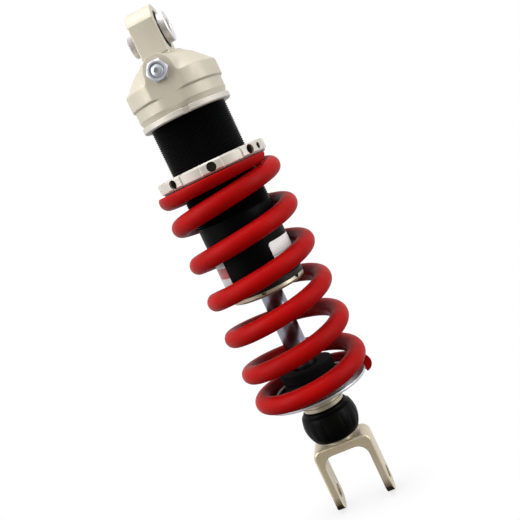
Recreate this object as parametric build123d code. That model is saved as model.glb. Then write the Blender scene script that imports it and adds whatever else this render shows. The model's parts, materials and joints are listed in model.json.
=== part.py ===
from build123d import *
import math
import os

# Rear shock absorber: gas-pressurised tube, threaded for the preload ring, red coil spring, fork-end clevis.
# Frame: millimetres, origin at the centre of the upper eye, +Z up along the damper, +X along both bolt axes,
# -Y is the front, where the gas valve is. Heights below are measured from the eye centre.

# ---- driving dimensions ---------------------------------------------------------------------------------
EYE_TO_CLEVIS = 340.0          # bolt centre to bolt centre, fully extended
RUN = 0.06                     # radial running clearance of a shaft in its bore
GAP = 0.3                      # air between pieces of different bodies

BOLT_R = 5.0                   # upper and lower bolt holes
EYE_R, EYE_WIDTH, EYE_FLAT = 17.6, 18.6, 16.2      # round top, width along X, flat front and back
RACE_R, RACE_WIDTH = 11.5, 9.0                     # spherical bearing's outer race
BALL_R, BALL_BORE_R, BALL_WIDTH = 8.5, 6.5, 12.0
SEAL_R = 13.0                                      # dust seal and circlip counterbore
COLLAR_R, COLLAR_SPAN = 10.5, 29.0                 # eye collars: flange radius, overall width

NECK_R, NECK_TOP = 15.0, -16.6                     # cone that rises from the drum to the eye lug
SHOULDER_R, SHOULDER_Z = 22.2, -22.0
DRUM_R, DRUM_TOP, DRUM_STEP = 32.6, -32.0, -43.0
DRUM_LOW_R, DRUM_CHAMFER_Z, DRUM_BOTTOM = 31.2, -51.2, -54.5
DRUM_BOTTOM_R = 29.9
PAD_Y, PAD_HALF, PAD_TOP_Z = 30.4, 11.2, -27.6     # flat front pad that carries the gas valve
HEAD_CAVITY_TOP = -38.0

TUBE_R, BORE_R = 27.0, 23.0                        # M54 x 1.5 outside, 46 mm bore
THREAD_PITCH, THREAD_DEPTH = 1.5, 0.7
TUBE_PLAIN_R = 26.85
TUBE_TOP, THREAD_END, TUBE_BOTTOM = -38.4, -131.5, -180.6
LOCK_R, LOCK_TOP, LOCK_BOTTOM = 31.6, -54.6, -58.8

RING_R, RING_BOSS_R, RING_TOP, RING_BOTTOM = 38.0, 38.8, -92.2, -100.3
RING_BOSSES, RING_TURN = 8, 9.0                    # bosses, and the angle of the first from the front
RING_HOLE_R, RING_SCREW_R, RING_SCREW_TURN = 3.2, 2.3, 71.0
WASHER_R, WASHER_THICK = 37.2, 0.7

WIRE_R, COIL_R = 6.35, 36.6                        # spring wire and the coil's centreline radius
COIL_TURNS, COIL_START = 6.9, 9.0                  # turns tip to tip, and the lower tip's angle from +X
END_PITCH, RAMP_START, RAMP_END = 10.0, 0.5, 1.15  # closed pitch, and the turns over which it opens
TIP_SINK = 0.3                                     # how far the tips' centreline sinks past the ground faces
SPRING_TOP, SPRING_BOTTOM = -101.0, -263.1         # ground faces, installed

ROD_R, ROD_NECK_R, ROD_THREAD_R = 8.0, 6.0, 7.0
ROD_TOP, ROD_SHOULDER, ROD_STEP, ROD_END = -118.0, -152.0, -277.8, -309.5
ROD_BORE_R, NEEDLE_R = 2.8, 2.5
PISTON_TOP, PISTON_BOTTOM = -128.0, -142.0
FLOAT_TOP, FLOAT_BOTTOM = -50.0, -62.0

GUIDE_TOP, GUIDE_FLANGE, GUIDE_BOTTOM = -160.0, -180.6, -184.2
GUIDE_FLANGE_R = 26.7
CAP_R, CAP_BOTTOM = 26.5, -187.8
BUSH_R, BUSH_LOW, BUSH_HIGH = 9.5, -175.0, -163.0  # bronze bush in the guide
SEAL_OUT_R, SEAL_LOW, SEAL_HIGH = 14.0, -182.8, -178.0
GUIDE_RING_Z = -168.5                              # the guide's O-ring
SPANNER_HOLE_R, SPANNER_HOLES = 2.0, 6             # pin-spanner holes round the end cap
VALVE_FLATS, VALVE_TALL, VALVE_THREAD_R = 13.0, 3.2, 4.4
LABEL_THICK = 0.12

SEAT_R, SEAT_BOTTOM = 37.2, -265.0                 # lower spring seat
HUB_R, HUB_IN_R, HUB_TOP, DISH_FLOOR = 28.0, 26.6, -259.0, -262.4
BUMP_R, BUMP_TOP = 19.4, -246.6
SEAT_COLLAR_R, SEAT_COLLAR_BOTTOM = 15.3, -277.8

KNOB_TOP, KNOB_BOTTOM = -278.1, -300.6
BOSS_R = 10.5                                      # clevis boss that the knob turns on
PIN_Z, PIN_R, PIN_HALF, NEEDLE_TRAVEL = -293.5, 1.2, 12.0, 3.0
DETENT_Z, DETENT_BALL_R = -284.5, 1.25
KNOB_WAIST_R, KNOB_BELLY_R, KNOB_BELLY_Z, KNOB_FOOT_R, KNOB_FOOT_Z = 18.2, 19.8, -289.0, 16.6, -299.2
FLUTES, FLUTE_R, FLUTE_OUT = 16, 4.4, 23.8         # finger flutes: count, radius, distance from the axis
CIRCLIP_LOW, CIRCLIP_HIGH = -302.1, -300.9         # circlip groove below the knob

CLEVIS_TOP, CLEVIS_WIDTH, CLEVIS_GAP, CLEVIS_DEPTH = -304.0, 42.4, 32.2, 22.4
CLEVIS_ROOF, CLEVIS_OUT_R, CLEVIS_IN_R, CLEVIS_END_R = -310.2, 6.0, 8.0, 12.5

os.makedirs("parts", exist_ok=True)


# ---- shape helpers --------------------------------------------------------------------------------------
def lathe(outline):
    """A closed outline of (radius, height) pairs, turned a full circle about Z."""
    return revolve(Plane.XZ * make_face(Polyline(*outline, close=True)), Axis.Z)


def drum(radius, low, high):
    """A solid cylinder about Z from one height to another."""
    return Pos(0, 0, (low + high) / 2) * Cylinder(radius, high - low)


def ring(outer, inner, low, high):
    """A plain ring about Z."""
    return drum(outer, low, high) - drum(inner, low - 1, high + 1)


def cross_bar(radius, x_low, x_high, z=0.0):
    """A solid cylinder along X."""
    return Pos((x_low + x_high) / 2, 0, z) * Rot(0, 90, 0) * Cylinder(radius, x_high - x_low)


def cross_ring(outer, inner, x_low, x_high):
    """A plain ring about the eye's own axis, X."""
    return cross_bar(outer, x_low, x_high) - cross_bar(inner, x_low - 1, x_high + 1)


def both_sides(shape):
    """The shape and its mirror image across the middle plane, as two solids."""
    return Compound(children=[shape, mirror(shape, about=Plane.YZ)])


def radial(shape, turn):
    """A shape built along -Y, turned about Z so that it points the given angle from the front."""
    return Rot(0, 0, turn) * shape


def bar_to_front(radius, near, far, z):
    """A solid cylinder along Y that starts near the axis and runs out to the front."""
    return Pos(0, -(near + far) / 2, z) * Rot(90, 0, 0) * Cylinder(radius, far - near)


def o_ring(radius, section, z):
    """A round-section seal about Z."""
    return Pos(0, 0, z) * Torus(radius, section)


def hexagon(across_flats, low, high):
    """A hexagonal prism about Z."""
    return extrude(Pos(0, 0, low) * RegularPolygon(across_flats / 2, 6, major_radius=False), high - low)


def save(shape, node):
    """Write one sub-part under its own name."""
    shape.label = node
    export_step(shape, "parts/" + node + ".step")


# ---- upper eye and its bearing --------------------------------------------------------------------------
def eye_lug():
    """Round-topped lug with flat front and back, before it is bored."""
    round_top = cross_bar(EYE_R, -EYE_WIDTH / 2, EYE_WIDTH / 2)
    root = Pos(0, 0, SHOULDER_Z / 2) * Box(EYE_WIDTH, 2 * EYE_FLAT, -SHOULDER_Z)
    lug = (round_top & Box(EYE_WIDTH, 2 * EYE_FLAT, 3 * EYE_R)) + root
    return chamfer(lug.edges().filter_by(GeomType.CIRCLE), 0.7)


def head_body():
    """Cone, two-step drum and flat valve pad below the lug."""
    body = lathe([(0, NECK_TOP), (NECK_R, NECK_TOP), (SHOULDER_R, SHOULDER_Z), (DRUM_R - 0.5, DRUM_TOP + 0.5),
                  (DRUM_R, DRUM_TOP - 0.6), (DRUM_R, DRUM_STEP), (DRUM_LOW_R, DRUM_STEP - 0.7),
                  (DRUM_LOW_R, DRUM_CHAMFER_Z), (DRUM_BOTTOM_R, DRUM_BOTTOM), (0, DRUM_BOTTOM)])
    pad_face = make_face(Polyline((-PAD_HALF, PAD_TOP_Z), (-PAD_HALF, DRUM_STEP), (PAD_HALF, DRUM_STEP),
                                  (PAD_HALF, PAD_TOP_Z), close=True)) + Pos(0, PAD_TOP_Z) * Circle(PAD_HALF)
    pad = extrude(Plane.XZ * pad_face, PAD_Y)
    body = body + pad
    return body - Pos(0, -PAD_Y - 10, DRUM_STEP) * Box(80, 20, 80)


def top_mount_head():
    """Head with eye bore, seal counterbores, tube thread and gas port."""
    head = head_body() + eye_lug()
    head -= cross_bar(RACE_R, -EYE_WIDTH, EYE_WIDTH)
    head -= both_sides(cross_bar(SEAL_R, RACE_WIDTH / 2 + 1.3, EYE_WIDTH))
    head -= drum(TUBE_R + 0.02, DRUM_BOTTOM - 1, TUBE_TOP)
    head -= drum(BORE_R, TUBE_TOP - 1, HEAD_CAVITY_TOP)
    head -= ring(TUBE_R - 0.5, BORE_R + 0.5, TUBE_TOP - 1, TUBE_TOP + 2.4)
    head -= drum(4.0, HEAD_CAVITY_TOP - 1, PAD_TOP_Z - 3.5)
    head -= bar_to_front(VALVE_THREAD_R + 0.1, 0, PAD_Y + 1, PAD_TOP_Z)
    groove = Box(EYE_WIDTH + 2, 60, 0.8) - Box(EYE_WIDTH + 4, 2 * EYE_FLAT - 1.0, 2)
    return head - Pos(0, 0, NECK_TOP - 0.3) * groove


def bearing_outer_race():
    """Race with a spherical seat for the ball."""
    race = cross_ring(RACE_R, 6.6, -RACE_WIDTH / 2, RACE_WIDTH / 2)
    return race - Sphere(BALL_R + RUN)


def bearing_ball():
    """Ball with flat sides, bored for the collars."""
    ball = Sphere(BALL_R) & Box(BALL_WIDTH, 40, 40)
    return ball - cross_bar(BALL_BORE_R, -20, 20)


def eye_collar():
    """Top-hat collar: a spigot in the ball and a flange that the frame bolt clamps."""
    spigot_r = BALL_BORE_R - RUN
    inner_face = BALL_WIDTH / 2 + 0.4
    flange = cross_ring(COLLAR_R, BOLT_R, inner_face + 3.0, COLLAR_SPAN / 2)
    flange = chamfer(flange.edges().filter_by(GeomType.CIRCLE), 0.5)
    neck = cross_ring(COLLAR_R - 2.2, BOLT_R, inner_face, inner_face + 3.4)
    return flange + neck + cross_ring(spigot_r, BOLT_R, 0.05, inner_face + 0.2)


# ---- damper body ----------------------------------------------------------------------------------------
def head_lock_ring():
    """Slotted nut that locks the head on the tube."""
    outline = [(TUBE_R + 0.02, LOCK_BOTTOM), (LOCK_R - 0.7, LOCK_BOTTOM), (LOCK_R, LOCK_BOTTOM + 0.7),
               (LOCK_R, LOCK_TOP - 0.4), (LOCK_R - 0.4, LOCK_TOP), (TUBE_R + 0.02, LOCK_TOP)]
    nut = lathe(outline)
    slot = Pos(0, -LOCK_R, (LOCK_TOP + LOCK_BOTTOM) / 2) * Box(5.0, 3.0, 10)
    for turn in range(11, 371, 90):
        nut -= radial(slot, turn)
    return nut


def damper_tube():
    """Pressure tube: fine thread over the upper part, plain below."""
    outline = [(BORE_R, TUBE_TOP), (TUBE_R, TUBE_TOP)]
    z = LOCK_BOTTOM
    while z - THREAD_PITCH > THREAD_END:
        outline += [(TUBE_R, z), (TUBE_R - THREAD_DEPTH, z - THREAD_PITCH / 2)]
        z -= THREAD_PITCH
    outline += [(TUBE_R, z), (TUBE_PLAIN_R, z - 0.6), (TUBE_PLAIN_R, TUBE_BOTTOM + 0.6),
                (TUBE_PLAIN_R - 0.4, TUBE_BOTTOM), (BORE_R, TUBE_BOTTOM)]
    return lathe(outline)


def tube_label(first_turn, last_turn, low, high):
    """Thin blank label that follows the tube."""
    skin = ring(TUBE_PLAIN_R + LABEL_THICK, TUBE_PLAIN_R, low, high)
    arc = last_turn - first_turn
    wedge = revolve(Plane.YZ * Pos(-30, (low + high) / 2) * Rectangle(40, high - low + 2), Axis.Z, arc)
    return skin & (Rot(0, 0, first_turn) * wedge)


def rod_guide():
    """Guide that closes the tube and holds the bush, the seal and the wiper."""
    body = drum(BORE_R - 0.02, GUIDE_FLANGE, GUIDE_TOP) + drum(GUIDE_FLANGE_R, GUIDE_BOTTOM, GUIDE_FLANGE)
    body -= drum(ROD_R + 0.4, GUIDE_BOTTOM - 1, GUIDE_TOP + 1)
    body -= drum(BUSH_R, BUSH_LOW, BUSH_HIGH)
    body -= drum(SEAL_OUT_R, GUIDE_BOTTOM - 1, SEAL_HIGH)
    return body - ring(BORE_R + 1, BORE_R - 2.2, GUIDE_RING_Z - 1.1, GUIDE_RING_Z + 1.1)


def end_cap():
    """Outer cap under the guide, with a pin-spanner hole at the front."""
    outline = [(SEAL_OUT_R, CAP_BOTTOM), (CAP_R - 1.6, CAP_BOTTOM), (CAP_R - 0.5, CAP_BOTTOM + 0.5),
               (CAP_R, CAP_BOTTOM + 1.5), (CAP_R, GUIDE_BOTTOM), (SEAL_OUT_R, GUIDE_BOTTOM)]
    cap = lathe(outline)
    for index in range(SPANNER_HOLES):
        hole = bar_to_front(SPANNER_HOLE_R, CAP_R - 4, CAP_R + 2, GUIDE_BOTTOM)
        cap -= radial(hole, index * 360 / SPANNER_HOLES)
    return cap


def rod_wiper():
    """Lip that wipes the rod, standing slightly proud of the cap."""
    lip = ROD_R + RUN
    return lathe([(lip, CAP_BOTTOM - 0.1), (lip + 1.2, CAP_BOTTOM - 0.1), (SEAL_OUT_R - 0.02, CAP_BOTTOM + 1.5),
                  (SEAL_OUT_R - 0.02, GUIDE_BOTTOM + 1.2), (lip + 1.5, GUIDE_BOTTOM + 1.2),
                  (lip + 1.5, CAP_BOTTOM + 1.4), (lip, CAP_BOTTOM + 0.4)])


def gas_valve_body():
    """Hexagon-headed valve housing screwed into the head's front pad."""
    face = PAD_Y + VALVE_TALL
    corners = lathe([(0, PAD_Y), (7.5, PAD_Y), (7.5, face - 0.8), (6.2, face), (0, face)])
    valve = hexagon(VALVE_FLATS, PAD_Y, face) & corners
    valve += drum(VALVE_THREAD_R, PAD_Y - 8, PAD_Y)
    valve -= drum(5.0, PAD_Y + 1.4, PAD_Y + 4)
    valve -= drum(2.0, PAD_Y - 9, PAD_Y + 4)
    return Pos(0, 0, PAD_TOP_Z) * Rot(90, 0, 0) * valve


def gas_valve_screw():
    """Domed hexagon-socket screw that closes the valve."""
    dome = lathe([(0, PAD_Y + 1.5), (4.3, PAD_Y + 1.5), (4.3, PAD_Y + 2.3), (3.6, PAD_Y + 3.2),
                  (2.2, PAD_Y + 3.7), (0, PAD_Y + 3.9)])
    dome += drum(1.9, PAD_Y - 4, PAD_Y + 1.5)
    dome -= hexagon(3.0, PAD_Y + 1.9, PAD_Y + 5)
    return Pos(0, 0, PAD_TOP_Z) * Rot(90, 0, 0) * dome


# ---- preload ring and spring ----------------------------------------------------------------------------
def preload_ring():
    """Threaded ring with raised bosses, each drilled for a pin spanner."""
    edge = 1.1
    bore = TUBE_R + RUN
    nut = lathe([(bore, RING_BOTTOM), (RING_R - edge, RING_BOTTOM), (RING_R, RING_BOTTOM + edge),
                 (RING_R, RING_TOP - edge), (RING_R - edge, RING_TOP), (bore, RING_TOP)])
    boss_ring = lathe([(RING_R - 4, RING_BOTTOM + 0.4), (RING_BOSS_R - edge, RING_BOTTOM + 0.4),
                       (RING_BOSS_R, RING_BOTTOM + 0.4 + edge), (RING_BOSS_R, RING_TOP - edge),
                       (RING_BOSS_R - edge, RING_TOP), (RING_R - 4, RING_TOP)])
    half = RING_BOSS_R * math.tan(math.radians(8.8))
    wedge = make_face(Polyline((-half - 2.5, -RING_R + 2), (-half, -RING_BOSS_R - 1), (half, -RING_BOSS_R - 1),
                               (half + 2.5, -RING_R + 2), close=True))
    boss = boss_ring & extrude(Pos(0, 0, RING_BOTTOM - 1) * wedge, RING_TOP - RING_BOTTOM + 2)
    middle = (RING_TOP + RING_BOTTOM) / 2
    for index in range(RING_BOSSES):
        nut += radial(boss, RING_TURN + index * 360 / RING_BOSSES)
    for index in range(RING_BOSSES):
        turn = RING_TURN + index * 360 / RING_BOSSES
        nut -= radial(bar_to_front(RING_HOLE_R, RING_BOSS_R - 6, RING_BOSS_R + 1, middle), turn)
    return nut - radial(bar_to_front(RING_SCREW_R, bore - 1, RING_R + 1, middle), RING_SCREW_TURN)


def preload_lock_screw():
    """Grub screw that locks the ring, sunk below its surface."""
    screw = drum(RING_SCREW_R - 0.02, TUBE_R + 0.4, RING_R - 1.6) - hexagon(2.0, RING_R - 3.6, RING_R)
    middle = (RING_TOP + RING_BOTTOM) / 2
    return Rot(0, 0, RING_SCREW_TURN) * Pos(0, 0, middle) * Rot(90, 0, 0) * screw


def closed_end_rise(turns, open_pitch):
    """Height gained from a tip: closed pitch first, then a smooth change to the open pitch."""
    ramp = RAMP_END - RAMP_START
    t = min(max((turns - RAMP_START) / ramp, 0), 1)
    opened = ramp * (t ** 3 - t ** 4 / 2) + max(turns - RAMP_END, 0)
    return END_PITCH * turns + (open_pitch - END_PITCH) * opened


def coil_spring():
    """Right-handed spring of short mitred chords, with a nearly closed turn at each end, ground flat."""
    length = SPRING_TOP - SPRING_BOTTOM
    ramp = RAMP_END - RAMP_START
    closed_part = 2 * END_PITCH * (RAMP_END - ramp / 2)
    open_pitch = (length + 2 * TIP_SINK - closed_part) / (COIL_TURNS - 2 * RAMP_END + ramp)
    chords_per_turn = 20
    count = round(COIL_TURNS * chords_per_turn)
    chord_r = 2 * COIL_R / (1 + math.cos(math.pi / chords_per_turn))    # keeps the mean radius at COIL_R
    points = []
    for index in range(count + 1):
        turns = COIL_TURNS * index / count
        if turns < COIL_TURNS / 2:
            rise = closed_end_rise(turns, open_pitch) - TIP_SINK
        else:
            rise = length + TIP_SINK - closed_end_rise(COIL_TURNS - turns, open_pitch)
        angle = math.radians(COIL_START + 360 * turns)
        points.append((chord_r * math.cos(angle), chord_r * math.sin(angle), SPRING_BOTTOM + rise))
    spine = Polyline(*points)
    section = Plane(origin=spine @ 0, z_dir=spine % 0) * Circle(WIRE_R)
    coil = sweep(section, path=spine, transition=Transition.RIGHT)
    return coil & Pos(0, 0, (SPRING_TOP + SPRING_BOTTOM) / 2) * Box(200, 200, length)


# ---- rod assembly ---------------------------------------------------------------------------------------
def piston_rod():
    """Hollow chromed rod: piston neck on top, thread for the clevis below, slot for the adjuster pin."""
    rod = lathe([(ROD_BORE_R, ROD_TOP), (ROD_NECK_R, ROD_TOP), (ROD_NECK_R, ROD_SHOULDER),
                 (ROD_R - 0.8, ROD_SHOULDER), (ROD_R, ROD_SHOULDER - 0.8), (ROD_R, ROD_STEP),
                 (ROD_THREAD_R, ROD_STEP), (ROD_THREAD_R, ROD_END), (ROD_BORE_R, ROD_END)])
    return rod - pin_slot()


def pin_slot():
    """Straight slot, front to back, that lets the adjuster pin rise and fall."""
    height = NEEDLE_TRAVEL + 2 * (PIN_R + GAP)
    middle = PIN_Z + NEEDLE_TRAVEL / 2
    return Pos(0, 0, middle) * Box(2 * (PIN_R + GAP), 40, height)


def piston():
    """Main piston with eight flow ports and a groove for its band."""
    outer = BORE_R - 0.35
    body = ring(outer, ROD_NECK_R + 0.02, PISTON_BOTTOM, PISTON_TOP)
    body -= ring(outer + 2, outer - 1.2, PISTON_BOTTOM + 2, PISTON_TOP - 2)
    for index in range(8):
        body -= Rot(0, 0, index * 45) * Pos(14, 0, 0) * drum(2.2, PISTON_BOTTOM - 1, PISTON_TOP + 1)
    return body


def shim_stack(top, widths):
    """Thin spring discs on the piston neck, widest first, as separate solids; a negative step goes down."""
    discs = []
    step = math.copysign(0.4, widths[0])
    for index, width in enumerate(widths):
        z = top + index * step
        discs.append(ring(abs(width), ROD_NECK_R + 0.02, min(z, z + step), max(z, z + step)))
    return Compound(children=discs)


def lower_spring_seat():
    """Flanged, dished seat that carries the spring."""
    return lathe([(ROD_R + 0.02, SEAT_BOTTOM), (SEAT_R - 0.6, SEAT_BOTTOM), (SEAT_R, SEAT_BOTTOM + 0.6),
                  (SEAT_R, SPRING_BOTTOM - 0.6), (SEAT_R - 0.6, SPRING_BOTTOM), (HUB_R, SPRING_BOTTOM),
                  (HUB_R - 0.2, HUB_TOP - 0.6), (HUB_R - 0.8, HUB_TOP), (HUB_IN_R + 0.4, HUB_TOP),
                  (HUB_IN_R, HUB_TOP - 0.6), (HUB_IN_R - 1.0, DISH_FLOOR), (ROD_R + 0.02, DISH_FLOOR)])


def bump_stop():
    """Moulded foam buffer round the rod, with a shallow waist."""
    waist_z = (BUMP_TOP + DISH_FLOOR) / 2
    return lathe([(ROD_R + 0.3, DISH_FLOOR + 1), (BUMP_R, DISH_FLOOR + 1), (BUMP_R, waist_z - 1.0),
                  (BUMP_R - 0.8, waist_z), (BUMP_R, waist_z + 1.0), (BUMP_R, BUMP_TOP - 1.2),
                  (BUMP_R - 1.2, BUMP_TOP), (ROD_R + 0.3, BUMP_TOP)])


def bump_stop_cup():
    """Thin washer-like cup that the bump stop stands in."""
    return lathe([(ROD_R + 0.3, DISH_FLOOR), (BUMP_R + 1.5, DISH_FLOOR), (BUMP_R + 1.5, DISH_FLOOR + 2.5),
                  (BUMP_R + 0.5, DISH_FLOOR + 2.5), (BUMP_R + 0.5, DISH_FLOOR + 1), (ROD_R + 0.3, DISH_FLOOR + 1)])


def seat_collar():
    """Two-tier collar under the seat, with a groove between the tiers."""
    outer, bottom = SEAT_COLLAR_R, SEAT_COLLAR_BOTTOM
    return lathe([(ROD_R + 0.02, bottom), (outer - 1.6, bottom), (outer - 0.6, bottom + 0.8),
                  (outer - 0.4, bottom + 3.2), (outer - 1.2, bottom + 3.6), (outer - 1.2, bottom + 4.4),
                  (outer, bottom + 4.8), (outer, SEAT_BOTTOM), (ROD_R + 0.02, SEAT_BOTTOM)])


def rebound_knob():
    """Barrel-shaped adjuster with shallow finger flutes, bored to turn on the clevis boss."""
    waist, foot_edge = (KNOB_WAIST_R, KNOB_TOP - 2.8), (KNOB_FOOT_R, KNOB_FOOT_Z)
    side = Polyline((BOSS_R + RUN, KNOB_TOP), (KNOB_WAIST_R - 2.4, KNOB_TOP), waist)
    barrel = ThreePointArc(waist, (KNOB_BELLY_R, KNOB_BELLY_Z), foot_edge)
    foot = Polyline(foot_edge, (KNOB_FOOT_R - 1.4, KNOB_BOTTOM), (BOSS_R + RUN, KNOB_BOTTOM),
                    (BOSS_R + RUN, KNOB_TOP))
    knob = revolve(Plane.XZ * make_face(side + barrel + foot), Axis.Z)
    for index in range(FLUTES):
        turn = (index + 0.5) * 360 / FLUTES
        knob -= Rot(0, 0, turn) * Pos(0, -FLUTE_OUT, KNOB_BELLY_Z) * Cylinder(FLUTE_R, 12)
    cam_space = drum(PIN_HALF + 0.5, PIN_Z - PIN_R - GAP, PIN_Z + NEEDLE_TRAVEL + PIN_R + GAP)
    ball_space = drum(BOSS_R + 1.1, DETENT_Z - DETENT_BALL_R - GAP, DETENT_Z + DETENT_BALL_R + GAP)
    return knob - cam_space - ball_space


def rebound_needle():
    """Long needle inside the rod, pointed at its upper end."""
    return lathe([(0, PIN_Z - 4), (NEEDLE_R, PIN_Z - 4), (NEEDLE_R, -140), (0.8, -132), (0, -132)]) - adjuster_pin()


def adjuster_pin():
    """Cross pin that the knob's cam lifts."""
    return Pos(0, 0, PIN_Z) * Rot(90, 0, 0) * Cylinder(PIN_R, 2 * PIN_HALF)


def detent_hole():
    """Radial blind hole in the boss, on the right, for a detent ball and its spring."""
    return cross_bar(DETENT_BALL_R + 0.05, ROD_THREAD_R + 0.4, BOSS_R + 1, DETENT_Z)


def clevis():
    """Fork with a round-cornered bridge, two bored legs and the boss that takes rod and knob."""
    foot_z = -EYE_TO_CLEVIS - CLEVIS_END_R
    height = CLEVIS_TOP - foot_z
    outer = Pos(0, CLEVIS_TOP - height / 2) * Rectangle(CLEVIS_WIDTH, height)
    outer = fillet(outer.vertices().group_by(Axis.Y)[-1], CLEVIS_OUT_R)
    gap_height = CLEVIS_ROOF - foot_z + 20
    gap = Pos(0, CLEVIS_ROOF - gap_height / 2) * Rectangle(CLEVIS_GAP, gap_height)
    gap = fillet(gap.vertices().group_by(Axis.Y)[-1], CLEVIS_IN_R)
    outer_block = extrude(Plane.XZ * outer, CLEVIS_DEPTH / 2, both=True)
    outer_block = fillet(outer_block.edges().filter_by(Axis.Z).group_by(SortBy.LENGTH)[-1], 1.8)
    fork = outer_block - extrude(Plane.XZ * gap, CLEVIS_DEPTH, both=True)
    side = Pos(0, 0, -EYE_TO_CLEVIS / 2) * Box(100, 100, EYE_TO_CLEVIS)
    fork &= side + cross_bar(CLEVIS_END_R, -50, 50, -EYE_TO_CLEVIS)
    fork -= cross_bar(BOLT_R, -50, 50, -EYE_TO_CLEVIS)
    fork += drum(BOSS_R, CLEVIS_TOP - 2, ROD_STEP)
    fork -= drum(ROD_THREAD_R + 0.02, CLEVIS_ROOF - 1, ROD_STEP + 1)
    fork -= pin_slot() & drum(BOSS_R + 1, KNOB_BOTTOM, KNOB_TOP)
    fork -= both_sides(detent_hole())
    return fork - ring(BOSS_R + 3, BOSS_R - 0.8, CIRCLIP_LOW, CIRCLIP_HIGH)


def floating_piston():
    """Solid cup piston that parts the gas from the oil, grooved for its O-ring."""
    outer, middle = BORE_R - 0.06, (FLOAT_TOP + FLOAT_BOTTOM) / 2
    return lathe([(0, FLOAT_BOTTOM), (outer, FLOAT_BOTTOM), (outer, middle - 1.6), (outer - 2.2, middle - 1.6),
                  (outer - 2.2, middle + 1.6), (outer, middle + 1.6), (outer, FLOAT_TOP),
                  (outer - 4, FLOAT_TOP), (outer - 6, FLOAT_TOP - 5), (0, FLOAT_TOP - 5)])


# ---- write every sub-part -------------------------------------------------------------------------------
seal_inner = RACE_WIDTH / 2 + 1.3
detent_spring = cross_bar(DETENT_BALL_R - 0.2, ROD_THREAD_R + 0.45, 8.65, DETENT_Z)

NODES = {
    "top_mount_head": top_mount_head(),
    "bearing_outer_race": bearing_outer_race(),
    "bearing_ball": bearing_ball(),
    "bearing_circlips": both_sides(cross_ring(SEAL_R - 0.02, 9.8, seal_inner, seal_inner + 1)),
    "bearing_dust_seals": both_sides(cross_ring(SEAL_R - 0.02, COLLAR_R - 1.4, seal_inner + 1.1, 8.7)),
    "eye_collars": both_sides(eye_collar()),
    "gas_valve_body": gas_valve_body(),
    "gas_valve_screw": gas_valve_screw(),
    "head_lock_ring": head_lock_ring(),
    "head_o_ring": o_ring((TUBE_R + BORE_R) / 2, 1.18, TUBE_TOP + 1.2),
    "damper_tube": damper_tube(),
    "tube_label_right": tube_label(35, 105, -178.0, -156.5),
    "tube_label_left": tube_label(-112, -40, -176.0, -152.0),
    "rod_guide": rod_guide(),
    "guide_bush": ring(BUSH_R - 0.02, ROD_R + RUN, BUSH_LOW, BUSH_HIGH),
    "guide_o_ring": o_ring(BORE_R - 1.1, 1.05, GUIDE_RING_Z),
    "rod_seal": ring(SEAL_OUT_R - 0.02, ROD_R + RUN, SEAL_LOW, SEAL_HIGH),
    "rod_wiper": rod_wiper(),
    "end_cap": end_cap(),
    "floating_piston": floating_piston(),
    "floating_piston_o_ring": o_ring(BORE_R - 1.2, 1.05, (FLOAT_TOP + FLOAT_BOTTOM) / 2),
    "preload_ring": preload_ring(),
    "preload_lock_screw": preload_lock_screw(),
    "slip_washer": ring(WASHER_R, TUBE_R + RUN, SPRING_TOP, SPRING_TOP + WASHER_THICK),
    "coil_spring": coil_spring(),
    "piston_rod": piston_rod(),
    "piston": piston(),
    "piston_band": ring(BORE_R - RUN, BORE_R - 1.53, PISTON_BOTTOM + 2.05, PISTON_TOP - 2.05),
    "piston_nut": hexagon(19.0, PISTON_TOP + 1.6, ROD_TOP) - drum(ROD_NECK_R + 0.02, -130, ROD_TOP + 1),
    "compression_shims": shim_stack(PISTON_BOTTOM, [-20.0, -18.0, -15.0, -12.0]),
    "rebound_shims": shim_stack(PISTON_TOP, [19.0, 17.0, 14.0, 11.0]),
    "top_out_washer": ring(12.0, ROD_NECK_R + 0.02, ROD_SHOULDER, PISTON_BOTTOM - 1.6),
    "bump_stop": bump_stop(),
    "bump_stop_cup": bump_stop_cup(),
    "lower_spring_seat": lower_spring_seat(),
    "seat_collar": seat_collar(),
    "clevis": clevis(),
    "knob_circlip": ring(12.6, BOSS_R - 0.78, CIRCLIP_LOW + 0.05, CIRCLIP_HIGH - 0.05),
    "detent_balls": both_sides(Pos(BOSS_R - 0.55, 0, DETENT_Z) * Sphere(DETENT_BALL_R)),
    "detent_springs": both_sides(detent_spring),
    "rebound_knob": rebound_knob(),
    "rebound_needle": rebound_needle(),
    "adjuster_pin": adjuster_pin(),
}

for node_name, node_shape in NODES.items():
    save(node_shape, node_name)
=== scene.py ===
"""Looks of a rear shock absorber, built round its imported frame.

Lengths are millimetres in the classes below and are turned into metres where a mesh or a camera is made.
"""

import json
import logging
import math
from dataclasses import dataclass, field
from enum import Enum

import bmesh
import bpy
from mathutils import Matrix, Vector

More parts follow.
